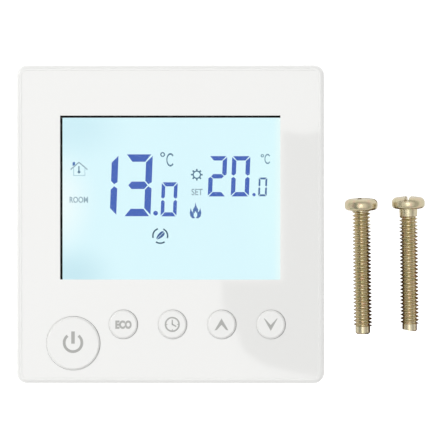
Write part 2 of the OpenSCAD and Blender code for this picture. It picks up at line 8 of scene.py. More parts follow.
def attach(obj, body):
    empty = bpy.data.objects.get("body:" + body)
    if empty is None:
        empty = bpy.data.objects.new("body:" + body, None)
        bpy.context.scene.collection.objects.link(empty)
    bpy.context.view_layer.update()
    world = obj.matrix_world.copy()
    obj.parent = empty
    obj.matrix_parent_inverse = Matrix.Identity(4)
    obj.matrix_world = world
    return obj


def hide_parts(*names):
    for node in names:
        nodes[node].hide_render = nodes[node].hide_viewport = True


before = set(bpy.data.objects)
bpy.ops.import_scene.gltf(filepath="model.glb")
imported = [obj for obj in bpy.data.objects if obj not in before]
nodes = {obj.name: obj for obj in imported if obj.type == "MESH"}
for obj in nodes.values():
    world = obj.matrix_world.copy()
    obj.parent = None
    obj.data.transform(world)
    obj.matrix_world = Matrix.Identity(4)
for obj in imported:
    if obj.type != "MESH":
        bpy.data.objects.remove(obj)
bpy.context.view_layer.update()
MM = 0.001

# ---------------------------------------------------------------------------
# Front cover
# One glossy white ABS moulding, polished on the face, with a leaning side wall,
# a soft front edge and small moulded air slits. It clips over the base.


def colour(text):
    """An sRGB hex colour as linear RGBA."""
    parts = [int(text[i:i + 2], 16) / 255 for i in (1, 3, 5)]
    linear = [c / 12.92 if c <= 0.04045 else ((c + 0.055) / 1.055) ** 2.4 for c in parts]
    return tuple(linear) + (1.0,)


def add(tree, kind, settings=None, links=None):
    """Adds a node. Settings are inputs or attributes, links are input to (node, output)."""
    n = tree.nodes.new(kind)
    for key, value in (settings or {}).items():
        if isinstance(key, int) or key in n.inputs:
            n.inputs[key].default_value = value
        else:
            setattr(n, key, value)
    for key, (source, output) in (links or {}).items():
        tree.links.new(source.outputs[output], n.inputs[key])
    return n


def shader(name):
    """A new material, its empty tree and a texture coordinate node."""
    m = bpy.data.materials.new(name)
    m.use_nodes = True
    m.node_tree.nodes.clear()
    return m, m.node_tree, add(m.node_tree, "ShaderNodeTexCoord")


def show(tree, body):
    """Makes a shader node what the material shows."""
    add(tree, "ShaderNodeOutputMaterial", links={"Surface": (body, 0)})


def mix(tree, low, high, factor):
    """Two tones, each an sRGB hex colour or an earlier mix, mixed by a node's output."""
    n = add(tree, "ShaderNodeMix", {"data_type": "RGBA"})
    for index, tone in ((6, low), (7, high)):
        if isinstance(tone, str):
            n.inputs[index].default_value = colour(tone)
        else:
            tree.links.new(tone.outputs[2], n.inputs[index])
    tree.links.new(factor.outputs[0], n.inputs[0])
    return n


def surface(name, low, high, rough, grain_mm, bump_mm=0.004, metal=0.0, stretch=(1, 1, 1),
            spread=0.06, coat=0.0, shine=0.5):
    """Two close tones in clouds, with uneven gloss and a fine bump from a grain of real size."""
    cloud_grains, least_rough = 18, 0.02
    m, t, place = shader(name)
    mapped = add(t, "ShaderNodeMapping", {"Scale": stretch}, {"Vector": (place, "Object")})
    grain = add(t, "ShaderNodeTexNoise", {"Scale": 1000 / grain_mm, "Detail": 4.0},
                {"Vector": (mapped, 0)})
    cloud = add(t, "ShaderNodeTexNoise", {"Scale": 1000 / (grain_mm * cloud_grains), "Detail": 2.0},
                {"Vector": (mapped, 0)})
    tone = mix(t, low, high, cloud)
    gloss = add(t, "ShaderNodeMapRange",
                {"To Min": max(least_rough, rough - spread), "To Max": rough + spread},
                {"Value": (grain, 0)})
    bump = add(t, "ShaderNodeBump", {"Strength": 0.35, "Distance": bump_mm * MM},
               {"Height": (grain, 0)})
    body = add(t, "ShaderNodeBsdfPrincipled",
               {"Metallic": metal, "Coat Weight": coat, "Coat Roughness": 0.05,
                "Specular IOR Level": shine},
               {"Roughness": (gloss, 0), "Normal": (bump, 0), "Base Color": (tone, 2)})
    show(t, body)
    return m


def dress(material, *names):
    """Gives one material to each named node."""
    for n in names:
        nodes[n].data.materials.clear()
        nodes[n].data.materials.append(material)


dress(surface("glossy_white_abs", "#f0f0ee", "#f2f2f0", 0.016, 4.0, 0.0005, spread=0.005),
      "front_cover")

# ---------------------------------------------------------------------------
# Display
# A lit segment display in a black holder behind a clear acrylic pane. Light blue
# light comes evenly through the glass; the figures are blue ink in the glass.


def piece(name, bm, material, body):
    """A mesh piece whose place is in its mesh, riding on a body."""
    bmesh.ops.recalc_face_normals(bm, faces=bm.faces)
    mesh = bpy.data.meshes.new(name)
    bm.to_mesh(mesh)
    bm.free()
    mesh.materials.append(material)
    o = bpy.data.objects.new(name, mesh)
    bpy.context.collection.objects.link(o)
    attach(o, body)
    return o


def print_on(name, outlines, z, thick, material, body):
    """Flat shapes given in millimetres, raised by a thin layer."""
    bm = bmesh.new()
    for points in outlines:
        bm.faces.new([bm.verts.new((x * MM, y * MM, z * MM)) for x, y in points])
    top = bmesh.ops.extrude_face_region(bm, geom=bm.faces[:])["geom"]
    bmesh.ops.translate(bm, vec=(0, 0, thick * MM),
                        verts=[v for v in top if isinstance(v, bmesh.types.BMVert)])
    return piece(name, bm, material, body)


def bow(cx, cy, r0, r1, start, end, squash=1.0, steps=28):
    """A band of an arc from start to end degrees, anticlockwise."""
    angles = [math.radians(start + (end - start) * i / steps) for i in range(steps + 1)]
    outer = [(cx + r1 * squash * math.cos(a), cy + r1 * math.sin(a)) for a in angles]
    inner = [(cx + r0 * squash * math.cos(a), cy + r0 * math.sin(a)) for a in reversed(angles)]
    return outer + inner


def ring(cx, cy, r0, r1):
    return [bow(cx, cy, r0, r1, 0, 180), bow(cx, cy, r0, r1, 180, 360)]


def disc(cx, cy, r, steps=24):
    angles = [2 * math.pi * i / steps for i in range(steps)]
    return [(cx + r * math.cos(a), cy + r * math.sin(a)) for a in angles]


def bar(x0, y0, x1, y1, width):
    """A straight stroke between two points."""
    d = Vector((x1 - x0, y1 - y0)).normalized() * width / 2
    return [(x0 + d.y, y0 - d.x), (x1 + d.y, y1 - d.x), (x1 - d.y, y1 + d.x), (x0 - d.y, y0 + d.x)]


def figure(x, y, w, h, across, along, which, gap, lean=2.2):
    """A figure's lit segments: across is how thick flat ones are, along upright ones."""
    m, g = h / 2, gap / 2
    near, far = m - across / 2, m + across / 2
    parts = {
        "a": [(g * 2, h), (w - g * 2, h), (w - along - g, h - across), (along + g, h - across)],
        "d": [(g * 2, 0), (along + g, across), (w - along - g, across), (w - g * 2, 0)],
        "g": [(along / 2 + g, m), (along + g, far), (w - along - g, far),
              (w - along / 2 - g, m), (w - along - g, near), (along + g, near)],
        "b": [(w, h - g * 2), (w, m + across / 3 + g), (w - along / 2, m + g * 1.4),
              (w - along, far + g), (w - along, h - across - g)],
        "c": [(w, g * 2), (w - along, across + g), (w - along, near - g),
              (w - along / 2, m - g * 1.4), (w, m - across / 3 - g)],
        "f": [(0, h - g * 2), (along, h - across - g), (along, far + g),
              (along / 2, m + g * 1.4), (0, m + across / 3 + g)],
        "e": [(0, g * 2), (0, m - across / 3 - g), (along / 2, m - g * 1.4),
              (along, near - g), (along, across + g)],
    }
    slope = math.tan(math.radians(lean))
    return [[(x + px + py * slope, y + py) for px, py in parts[s]] for s in which]


def letters(name, text, cx, cy, width, height, z, thick, material, body, bold=0.0, flip=False):
    """Plain lettering fitted to a width and a height. Flipped, it reads from behind."""
    half_deep = 0.1
    curve = bpy.data.curves.new(name, "FONT")
    curve.body, curve.size, curve.offset, curve.extrude = text, 1.0, bold, half_deep
    curve.resolution_u = 4
    loose = bpy.data.objects.new(name + "_outline", curve)
    bpy.context.collection.objects.link(loose)
    bpy.context.view_layer.update()
    solved = loose.evaluated_get(bpy.context.evaluated_depsgraph_get())
    mesh = bpy.data.meshes.new_from_object(solved)
    bpy.data.objects.remove(loose)
    bpy.data.curves.remove(curve)
    bm = bmesh.new()
    bm.from_mesh(mesh)
    bpy.data.meshes.remove(mesh)
    bmesh.ops.remove_doubles(bm, verts=bm.verts, dist=1e-5)
    xs, ys = [v.co.x for v in bm.verts], [v.co.y for v in bm.verts]
    sx, sy = width / (max(xs) - min(xs)), height / (max(ys) - min(ys))
    mx, my = (max(xs) + min(xs)) / 2, (max(ys) + min(ys)) / 2
    way = -1 if flip else 1
    for v in bm.verts:
        v.co = Vector(((cx + (v.co.x - mx) * sx * way) * MM, (cy + (v.co.y - my) * sy) * MM,
                       (z + (v.co.z + half_deep) * thick / (2 * half_deep)) * MM))
    return piece(name, bm, material, body)


def lit(name, low, high, strength=1.0):
    """Ink with the light behind it: its colour shows by its own light."""
    m, t, place = shader(name)
    cloud = add(t, "ShaderNodeTexNoise", {"Scale": 90.0, "Detail": 2.0}, {"Vector": (place, "Object")})
    tone = mix(t, low, high, cloud)
    body = add(t, "ShaderNodeBsdfPrincipled",
               {"Base Color": colour("#06080a"), "Roughness": 0.35, "Specular IOR Level": 0.0,
                "Emission Strength": strength},
               {"Emission Color": (tone, 2)})
    show(t, body)
    return m


# the glass glows: brightest at the left beside its lamp, duller in the two left
# corners, pale along the right edge
glow, t, place = shader("lit_display_glass")


def pool(cx, cy, rx, ry):
    """A soft oval patch in millimetres, one in its middle and nothing at its rim."""
    near = add(t, "ShaderNodeMapping",
               {"Location": (-cx / rx, -cy / ry, 0), "Scale": (1000 / rx, 1000 / ry, 0)},
               {"Vector": (place, "Object")})
    far = add(t, "ShaderNodeVectorMath", {"operation": "LENGTH"}, {0: (near, 0)})
    return add(t, "ShaderNodeMapRange",
               {"interpolation_type": "SMOOTHSTEP", "From Min": 1.0, "From Max": 0.0},
               {"Value": (far, "Value")})


cloud = add(t, "ShaderNodeTexNoise", {"Scale": 45.0, "Detail": 1.0}, {"Vector": (place, "Object")})
tone = mix(t, "#dbf8ff", "#dffaff", cloud)
for patch, oval in (("#d2f1f9", (-26.5, 27.5, 17, 12)), ("#cbebf4", (-27, -14.5, 14, 11)),
                    ("#f4ffff", (-33, 6.0, 14, 19)), ("#dffcff", (30, 8.0, 14, 34))):
    tone = mix(t, tone, patch, pool(*oval))
split = add(t, "ShaderNodeSeparateXYZ", links={"Vector": (place, "Object")})
right = add(t, "ShaderNodeMapRange",
            {"interpolation_type": "SMOOTHSTEP", "From Min": 0.0287, "From Max": 0.0312},
            {"Value": (split, "X")})
tone = mix(t, tone, "#e9fdfd", right)
body = add(t, "ShaderNodeBsdfPrincipled",
           {"Base Color": colour("#0c1214"), "Roughness": 0.25, "Specular IOR Level": 0.0,
            "Emission Strength": 1.0},
           {"Emission Color": (tone, 2)})
show(t, body)
dress(glow, "lcd_glass")

# clear acrylic: mostly see-through, mirror-like at a low angle
pane, t, place = shader("clear_acrylic_pane")
wear = add(t, "ShaderNodeTexNoise", {"Scale": 400.0, "Detail": 3.0}, {"Vector": (place, "Object")})
rough = add(t, "ShaderNodeMapRange", {"To Min": 0.01, "To Max": 0.04}, {"Value": (wear, 0)})
clear = add(t, "ShaderNodeBsdfTransparent", {"Color": colour("#fdfefe")})
shine = add(t, "ShaderNodeBsdfGlossy", {"Color": colour("#ffffff")}, {"Roughness": (rough, 0)})
edge = add(t, "ShaderNodeFresnel", {"IOR": 1.08})
both = add(t, "ShaderNodeMixShader", links={0: (edge, 0), 1: (clear, 0), 2: (shine, 0)})
show(t, both)
dress(pane, "window_lens")

dress(surface("black_holder_plastic", "#0b0c0a", "#121310", 0.5, 0.3, shine=0.12), "lcd_holder")
dress(surface("white_light_plate", "#e8f4f6", "#f4fbfc", 0.3, 0.8), "backlight_plate")
dress(surface("tinned_pin_metal", "#b9bbc0", "#d2d4d8", 0.3, 0.2, metal=1.0), "lcd_pins")

blue_ink = lit("blue_display_ink", "#4b67b6", "#516dbf")
slate_ink = lit("slate_display_ink", "#54758c", "#5f8098")
dark_ink = lit("dark_display_ink", "#3b5a6e", "#46677b")
pale_ink = lit("pale_display_ink", "#8fa9b6", "#9bb3bf")
INK_Z, INK_THICK = 39.612, 0.03


def ink(name, outlines, material):
    return print_on(name, outlines, INK_Z, INK_THICK, material, "front")


def ink_word(name, text, cx, cy, width, height):
    return letters(name, text, cx, cy, width, height, INK_Z, INK_THICK, pale_ink, "front",
                   bold=0.02)


ink("room_figures", figure(-22.75, 2.25, 7.35, 17.5, 2.1, 1.85, "bc", 0.42)
    + figure(-13.45, 2.25, 7.75, 17.5, 2.1, 1.85, "abgcd", 0.42) + [disc(-4.25, 3.1, 0.66)]
    + figure(-2.85, 2.2, 4.5, 9.65, 1.15, 1.02, "abcdef", 0.26), blue_ink)
ink("set_figures", figure(10.5, 7.85, 5.1, 11.4, 1.24, 1.24, "abged", 0.26)
    + figure(17.0, 7.85, 5.15, 11.4, 1.24, 1.24, "abcdef", 0.26) + [disc(23.6, 8.35, 0.47)],
    blue_ink)
ink("set_tenths", figure(24.75, 7.9, 2.42, 5.3, 0.55, 0.52, "abcdef", 0.16),
    lit("dim_blue_ink", "#4f6d9c", "#5a78a6"))
ink("degree_marks", ring(-2.25, 19.7, 0.36, 0.68) + [bow(-0.05, 18.2, 1.42, 1.9, 40, 320, 0.6)],
    slate_ink)
ink("set_degree_marks",
    ring(25.95, 19.35, 0.22, 0.46) + [bow(27.45, 18.45, 1.05, 1.44, 40, 320, 0.62)],
    lit("set_degree_ink", "#64889f", "#6f93a9"))
sun_x, sun_y = 7.42, 14.0
rays = [bar(sun_x + 1.0 * math.cos(a), sun_y + 1.0 * math.sin(a),
            sun_x + 1.66 * math.cos(a), sun_y + 1.66 * math.sin(a), 0.44)
        for a in [math.pi / 4 * i for i in range(8)]]
ink("sun_mark", ring(sun_x, sun_y, 0.84, 1.2) + rays, slate_ink)
# a house: pale walls, roof lines, a chimney and the thermometer inside it
ink("house_walls", [bar(-27.45, 15.9, -27.45, 13.75, 0.2), bar(-24.25, 15.9, -24.25, 13.75, 0.2),
                    bar(-27.55, 13.75, -24.15, 13.75, 0.2)],
    lit("house_wall_ink", "#a9cbd8", "#b3d2de"))
ink("house_roof", [bar(-28.3, 15.45, -25.95, 17.5, 0.34), bar(-25.95, 17.5, -23.55, 15.45, 0.34)],
    pale_ink)
ink("house_thermometer", [bar(-25.95, 16.45, -25.95, 15.0, 0.32), disc(-25.95, 14.75, 0.4)],
    slate_ink)
ink("house_chimney",
    [[(-27.75, 16.45), (-27.05, 16.75), (-27.05, 17.5), (-27.35, 17.65), (-27.75, 17.45)]],
    lit("chimney_ink", "#4a72ae", "#557cb6"))
ink("leaf_ring", [bow(-2.93, -3.3, 1.88, 2.3, a, b) for a, b in ((108, 196), (-18, 66), (234, 306))],
    dark_ink)
# a leaf of two halves, with its rib left clear between them
leaf_x, leaf_y, turn, half_rib = -2.9, -3.2, math.radians(44), 0.06
half = [(1.45 * math.cos(a), 0.62 * math.sin(a) * (1 + 0.3 * math.cos(a)))
        for a in [math.pi * i / 14 for i in range(15)]]
upper = [(x, y + half_rib) for x, y in half]
lower = [(x, -y - half_rib) for x, y in reversed(half)]
leaf = [[(leaf_x + x * math.cos(turn) - y * math.sin(turn),
          leaf_y + x * math.sin(turn) + y * math.cos(turn)) for x, y in shape]
        for shape in (upper, lower)]
ink("leaf_mark", leaf, lit("leaf_ink", "#3d5a8e", "#48659a"))
# a flame: two side tongues and a tall middle one round a small pale heart
flame = [
    [(6.95, 1.7), (6.2, 1.65), (5.6, 2.25), (5.4, 3.2), (5.7, 4.6), (5.95, 3.75), (6.3, 3.3),
     (6.6, 3.0), (6.5, 2.35)],
    [(6.3, 3.3), (6.35, 4.2), (6.85, 5.0), (7.0, 6.2), (7.35, 5.0), (7.8, 4.2), (7.75, 3.3),
     (7.4, 3.1), (7.05, 3.75), (6.75, 3.1)],
    [(7.1, 1.7), (7.55, 2.35), (7.5, 3.0), (7.75, 3.3), (8.1, 3.75), (8.4, 4.6), (8.7, 3.2),
     (8.5, 2.25), (7.9, 1.65)],
]
ink("flame_mark", flame, lit("flame_ink", "#4f6eaa", "#6482b8"))
ink_word("room_word", "ROOM", -26.0, 6.9, 5.2, 1.75)
ink_word("set_word", "SET", 7.5, 9.1, 3.2, 1.85)

# ---------------------------------------------------------------------------
# Buttons
# Five white caps in the cover, one large and four small, each printed in grey
# and standing a fifth of a millimetre proud of the cover's raised rim.

keys = ("power", "eco", "clock", "up", "down")
dress(surface("white_cap_plastic", "#eeeeec", "#f1f1ef", 0.12, 1.2, 0.0008, spread=0.03),
      *["button_" + key for key in keys])
dress(surface("black_switch_plastic", "#16171a", "#222327", 0.4, 0.4),
      *["plunger_" + key for key in keys], *["switch_" + key for key in keys])
grey_ink = surface("grey_pad_print", "#aeaeab", "#b7b7b4", 0.5, 0.25, 0.002)
CAP_Z, PRINT_THICK = 43.293, 0.012
power_x, power_y, row_y = -27.45, -33.6, -28.25
eco_x, clock_x, up_x, down_x = -13.3, 0.6, 14.5, 28.4


def pad_print(key, outlines):
    print_on(key + "_mark", outlines, CAP_Z, PRINT_THICK, grey_ink, key + "_key")


pad_print("power", [bow(power_x, power_y + 0.15, 2.12, 2.9, 128, 412),
                    bar(power_x, power_y - 0.1, power_x, power_y + 3.35, 1.0)])
letters("eco_word", "ECO", eco_x + 0.12, row_y - 0.08, 4.6, 2.4, CAP_Z, PRINT_THICK, grey_ink,
        "eco_key", bold=0.06)
hands = [bar(clock_x, row_y - 0.15, clock_x, row_y + 1.35, 0.36),
         bar(clock_x - 0.05, row_y + 0.05, clock_x + 1.15, row_y - 0.6, 0.36)]
ticks = [bar(clock_x + 1.75 * math.cos(a), row_y + 1.75 * math.sin(a),
             clock_x + 1.35 * math.cos(a), row_y + 1.35 * math.sin(a), 0.24)
         for a in (0, math.pi, 1.5 * math.pi)]
pad_print("clock", ring(clock_x, row_y, 1.7, 2.14) + hands + ticks)
pad_print("up", [[(up_x, row_y + 1.7), (up_x - 1.95, row_y - 1.65), (up_x - 1.3, row_y - 1.55),
                  (up_x, row_y - 0.1)],
                 [(up_x, row_y + 1.7), (up_x, row_y - 0.1), (up_x + 1.3, row_y - 1.55),
                  (up_x + 1.95, row_y - 1.65)]])
pad_print("down", [[(down_x, row_y - 1.8), (down_x, row_y - 0.15), (down_x - 1.7, row_y + 1.68),
                    (down_x - 1.95, row_y + 1.7)],
                   [(down_x, row_y - 1.8), (down_x + 1.95, row_y + 1.7),
                    (down_x + 1.7, row_y + 1.68), (down_x, row_y - 0.15)]])

# ---------------------------------------------------------------------------
# Front electronics
# A green fibreglass board with the switches, the controller, the cell, the
# buzzer and the temperature sensor, screwed to the cover's posts.

dress(surface("green_solder_mask", "#0f5a2c", "#17703a", 0.28, 0.5, coat=0.4), "display_board")
dress(surface("black_moulded_part", "#141416", "#202023", 0.42, 0.35),
      "microcontroller", "buzzer", "board_header", "board_socket", "room_sensor")
dress(surface("bright_steel_can", "#bdbec0", "#d6d7d9", 0.22, 0.4, metal=1.0, stretch=(1, 6, 1)),
      "crystal", "backup_cell")
dress(surface("plated_screw_steel", "#a9abb0", "#c8cacf", 0.3, 0.3, metal=1.0),
      "board_screws", "base_screws", *["terminal_screw_%d" % i for i in range(1, 7)])

# ---------------------------------------------------------------------------
# Base
# The white housing that goes into the wall box, screwed to a pressed frame of
# galvanised steel with two slots for the box screws. A rating label fills the
# shallow recess in the housing's back.

dress(surface("satin_white_housing_plastic", "#e6e6e3", "#ededea", 0.42, 0.5, 0.006), "rear_housing")
dress(surface("galvanised_steel", "#9ea2a6", "#c0c4c7", 0.33, 0.9, 0.003, metal=1.0, spread=0.12),
      "mounting_frame", *["terminal_clamp_%d" % i for i in range(1, 7)])

# the label: satin polyester film, printed in grey, read from behind
film = surface("satin_label_film", "#d9dadb", "#e1e2e3", 0.35, 0.6, 0.002)
label_ink = surface("label_print", "#3a3c40", "#484a4e", 0.5, 0.2, 0.002)
LABEL_Y, LABEL_INK_Z, LABEL_INK_THICK, line = 13.5, 0.03, 0.02, 0.22
corners = ((1, 1, 0), (-1, 1, 90), (-1, -1, 180), (1, -1, 270))
outline = [(sx * 17.6 + 0.9 * math.cos(a), LABEL_Y + sy * 7.3 + 0.9 * math.sin(a))
           for sx, sy, first in corners for a in [math.radians(first + 15 * i) for i in range(7)]]
print_on("rating_label", [outline], 0.05, 0.12, film, "base")
pole_x = [(i - 2.5) * 5.6 for i in range(6)]
low, high = 8.4, 11.8
diagram = []
for x in pole_x:
    diagram += [bar(x - 1.9, low, x + 1.9, low, line), bar(x - 1.9, high, x + 1.9, high, line),
                bar(x - 1.9, low - 0.1, x - 1.9, high + 0.1, line),
                bar(x + 1.9, low - 0.1, x + 1.9, high + 0.1, line)]
# the wiring marks by the boxes: the supply's loop, a heater block and the sensor's loop
for left, right, top in ((-14, -8.4, 13.4), (8.4, 14, 13.4)):
    diagram += [bar(left, high, left, top, line), bar(right, high, right, top, line),
                bar(left, top, right, top, line)]
diagram += [bar(-2.8, high, -2.8, 13.2, line), bar(2.8, high, 2.8, 13.2, line),
            bar(-2.9, 13.3, 2.9, 13.3, 0.7)]
print_on("label_diagram", diagram, LABEL_INK_Z, LABEL_INK_THICK, label_ink, "base")


def label_word(name, text, cx, cy, width, height, bold=0.0):
    letters(name, text, cx, cy, width, height, LABEL_INK_Z, LABEL_INK_THICK, label_ink, "base",
            bold=bold, flip=True)


label_word("label_title", "ROOM THERMOSTAT", 0, 19.0, 24, 1.9, bold=0.02)
label_word("label_rating", "230 V   50/60 Hz   16 A", 0, 15.9, 26, 1.6)
for i, mark in enumerate(("N", "L", "M", "H", "S", "S")):
    label_word("label_pole_%d" % (i + 1), mark, pole_x[i], 10.1, 1.3, 1.8)

# ---------------------------------------------------------------------------
# Power electronics
# A brown phenolic board in the housing with the relay, the supply transformer
# and the small parts that protect it.

dress(surface("phenolic_board", "#a98a4c", "#b89a5c", 0.5, 0.6), "power_board")
dress(surface("blue_relay_case", "#1b3f86", "#22499a", 0.3, 0.6), "relay_case")
dress(surface("enamelled_copper_wire", "#8c4a1e", "#b5652c", 0.35, 0.25, 0.02, stretch=(1, 1, 8)),
      "relay_coil")
dress(surface("soft_iron", "#8d9094", "#a7aaae", 0.4, 0.5, metal=1.0), "relay_yoke", "relay_armature")
dress(surface("yellow_winding_tape", "#d8bd3c", "#e4cb52", 0.4, 0.7), "supply_module")
dress(surface("capacitor_sleeve", "#1a1f38", "#242a48", 0.3, 0.5), "main_capacitor")
dress(surface("film_capacitor_box", "#c9a83a", "#d6b64a", 0.35, 0.5), "film_capacitor")
dress(surface("varistor_lacquer", "#2a5f96", "#3570a8", 0.35, 0.4, 0.01), "varistor")
dress(surface("fuse_body", "#8a5f42", "#9b6e50", 0.3, 0.4), "fuse")

# ---------------------------------------------------------------------------
# Terminals
# A green moulded block with six rising clamps in zinc-coated steel, their
# slotted screws, and brass contact bars soldered to the board.

dress(surface("green_terminal_plastic", "#1f7a46", "#278a52", 0.42, 0.4), "terminal_block")
dress(surface("contact_brass", "#b8963f", "#cdaa55", 0.3, 0.4, metal=1.0), "terminal_contacts")

# ---------------------------------------------------------------------------
# Fixing screws
# Two steel machine screws, yellow passivated zinc plate with pink and green
# tints, rolled thread, pan head with a slot and a cross.

zinc, t, place = shader("yellow_passivated_zinc")
tint, shift, grain = [
    add(t, "ShaderNodeTexNoise", {"Scale": scale, "Detail": detail}, {"Vector": (place, "Object")})
    for scale, detail in ((900.0, 4.0), (260.0, 3.0), (5000.0, 4.0))]
ramp = add(t, "ShaderNodeValToRGB", links={"Fac": (tint, 0)})
first, last = ramp.color_ramp.elements
first.position, first.color = 0.32, colour("#bcb98a")
last.position, last.color = 0.68, colour("#e0b89a")
for position, tone in ((0.44, "#d3c89c"), (0.56, "#dccba6")):
    ramp.color_ramp.elements.new(position).color = colour(tone)
pale = add(t, "ShaderNodeMix", {"data_type": "RGBA", 7: colour("#e0d6bc")},
           {0: (shift, 0), 6: (ramp, 0)})
gloss = add(t, "ShaderNodeMapRange", {"To Min": 0.2, "To Max": 0.42}, {"Value": (grain, 0)})
bump = add(t, "ShaderNodeBump", {"Strength": 0.4, "Distance": 0.00001}, {"Height": (grain, 0)})
body = add(t, "ShaderNodeBsdfPrincipled", {"Metallic": 1.0},
           {"Base Color": (pale, 2), "Roughness": (gloss, 0), "Normal": (bump, 0)})
show(t, body)

PITCH, THREAD_R, HEAD_R, HEAD_H, LEFT_LONG, DOG = 1.05, 2.7, 4.8, 3.5, 35.9, 2.3
ROOT_R, DOG_R, TOP_R, PER_TURN = THREAD_R - 0.75 * PITCH, THREAD_R * 0.78, 1.5, 32
# a screw lies on its head's rim and its thread, so its axis tilts
tilt = math.atan((HEAD_R - THREAD_R) / (LEFT_LONG - DOG - PITCH / 2 + TOP_R))


def trim(bm, point, normal):
    """Cuts off what lies past a plane, and leaves the cut open."""
    bmesh.ops.bisect_plane(bm, geom=bm.verts[:] + bm.edges[:] + bm.faces[:], plane_co=point,
                           plane_no=normal, clear_outer=True)


def close(bm):
    """Fills every open cut."""
    bmesh.ops.holes_fill(bm, edges=[e for e in bm.edges if e.is_boundary])


def profile(bm, outline, lift=0.0):
    """An outline of (radius, height) in millimetres, standing in the XZ plane."""
    verts = [bm.verts.new((r * MM, 0, (z + lift) * MM)) for r, z in outline]
    return verts + [bm.edges.new((a, b)) for a, b in zip(verts, verts[1:])]


def lathe(bm, outline, steps=48):
    """Turns an outline about the Z axis."""
    bmesh.ops.spin(bm, geom=profile(bm, outline), cent=(0, 0, 0), axis=(0, 0, 1),
                   angle=2 * math.pi, steps=steps)
    bmesh.ops.remove_doubles(bm, verts=bm.verts, dist=1e-7)
    bmesh.ops.recalc_face_normals(bm, faces=bm.faces)


def rolled_thread(long, neck):
    """One turn's outline taken up the axis as it turns, cut square at both ends."""
    bm = bmesh.new()
    turns = int((long - DOG - neck) / PITCH) + 2
    ridge = [(ROOT_R, 0), (ROOT_R, 0.1), (THREAD_R - 0.04, 0.48), (THREAD_R, 0.53),
             (THREAD_R - 0.04, 0.58), (ROOT_R, 0.96), (ROOT_R, PITCH)]
    bmesh.ops.spin(bm, geom=profile(bm, ridge, long - DOG - (turns - 0.5) * PITCH), cent=(0, 0, 0),
                   axis=(0, 0, 1), dvec=(0, 0, PITCH / PER_TURN * MM),
                   angle=2 * math.pi * turns, steps=turns * PER_TURN)
    bmesh.ops.remove_doubles(bm, verts=bm.verts, dist=2e-6)
    trim(bm, (0, 0, neck * MM), (0, 0, -1))
    trim(bm, (0, 0, (long - DOG) * MM), (0, 0, 1))
    close(bm)
    bmesh.ops.recalc_face_normals(bm, faces=bm.faces)
    return bm


def shank(long, neck, cut):
    """The plain neck, the core and the dog point, whose end can be sheared by cut degrees."""
    bm = bmesh.new()
    lathe(bm, [(0, -0.95), (THREAD_R * 0.98, -0.95), (THREAD_R * 0.98, 0.3),
               (THREAD_R * 0.95, neck - 0.1), (ROOT_R, neck + 0.2), (ROOT_R, long - DOG - 0.2),
               (DOG_R, long - DOG + 0.1), (DOG_R, long - 0.4), (DOG_R - 0.4, long), (0, long)])
    if cut:
        shear = math.radians(cut)
        drop = abs(math.tan(shear)) * DOG_R
        trim(bm, (0, 0, (long - drop) * MM), Vector((math.sin(shear), 0, math.cos(shear))))
        close(bm)
        bmesh.ops.recalc_face_normals(bm, faces=bm.faces)
    return bm


def pan_head(name, slot_turn):
    """The head with the slot and the cross arm cut into it, as a mesh."""
    quarter = [math.pi / 2 * i / 8 for i in range(9)]
    rim = [(HEAD_R - 1.1 + 1.1 * math.sin(a), -1.1 + 1.1 * math.cos(a)) for a in quarter]
    top = [(HEAD_R - TOP_R + TOP_R * math.cos(a), -(HEAD_H - 1.75) - TOP_R * math.sin(a))
           for a in quarter]
    head, cutter = bmesh.new(), bmesh.new()
    lathe(head, [(0, 0)] + rim + top + [(1.6, -HEAD_H + 0.06), (0, -HEAD_H)], 64)
    for turned, wide, length, deep in ((0, 1.3, 12.0, 1.3), (90, 1.2, 5.3, 1.6)):
        bmesh.ops.create_cube(cutter, size=1.0, matrix=(
            Matrix.Rotation(math.radians(slot_turn + turned), 4, "Z")
            @ Matrix.Translation((0, 0, (-HEAD_H - 1 + deep / 2) * MM))
            @ Matrix.Diagonal((length * MM, wide * MM, (deep + 2) * MM, 1))))
    made = []
    for part, bm in (("head", head), ("cutter", cutter)):
        mesh = bpy.data.meshes.new(name + "_" + part)
        bm.to_mesh(mesh)
        bm.free()
        made.append(bpy.data.objects.new(mesh.name, mesh))
        bpy.context.collection.objects.link(made[-1])
    slots = made[0].modifiers.new("slots", "BOOLEAN")
    slots.operation, slots.solver, slots.object, slots.use_self = "DIFFERENCE", "EXACT", made[1], True
    bpy.context.view_layer.update()
    solved = made[0].evaluated_get(bpy.context.evaluated_depsgraph_get())
    mesh = bpy.data.meshes.new_from_object(solved)
    for o in made:
        bpy.data.objects.remove(o)
    return mesh


def machine_screw(side, x, y, long, neck, cut, slot_turn, yaw):
    """A screw lying with its head's underside at x, y, its point towards -Y."""
    smooth_below = math.radians(32)
    name = side + "_fixing_screw"
    thread, core = rolled_thread(long, neck), shank(long, neck, cut)
    screw = bmesh.new()
    slotted = pan_head(name, slot_turn)
    for source in (thread, core):
        mesh = bpy.data.meshes.new("part")
        source.to_mesh(mesh)
        source.free()
        screw.from_mesh(mesh)
        bpy.data.meshes.remove(mesh)
    screw.from_mesh(slotted)
    bpy.data.meshes.remove(slotted)
    up = HEAD_R * math.cos(tilt) - TOP_R * math.sin(tilt)
    laid = (Matrix.Translation((x * MM, y * MM, up * MM)) @ Matrix.Rotation(math.radians(yaw), 4, "Z")
            @ Matrix.Rotation(tilt, 4, "X") @ Matrix.Rotation(math.pi / 2, 4, "X"))
    bmesh.ops.transform(screw, matrix=laid, verts=screw.verts)
    for f in screw.faces:
        f.smooth = True
    for e in screw.edges:
        if len(e.link_faces) == 2 and e.calc_face_angle(0) > smooth_below:
            e.smooth = False
    mesh = bpy.data.meshes.new(name)
    screw.to_mesh(mesh)
    screw.free()
    mesh.materials.append(zinc)
    o = bpy.data.objects.new(name, mesh)
    bpy.context.collection.objects.link(o)
    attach(o, "loose_screw_" + side)
    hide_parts("fixing_screw_" + side)


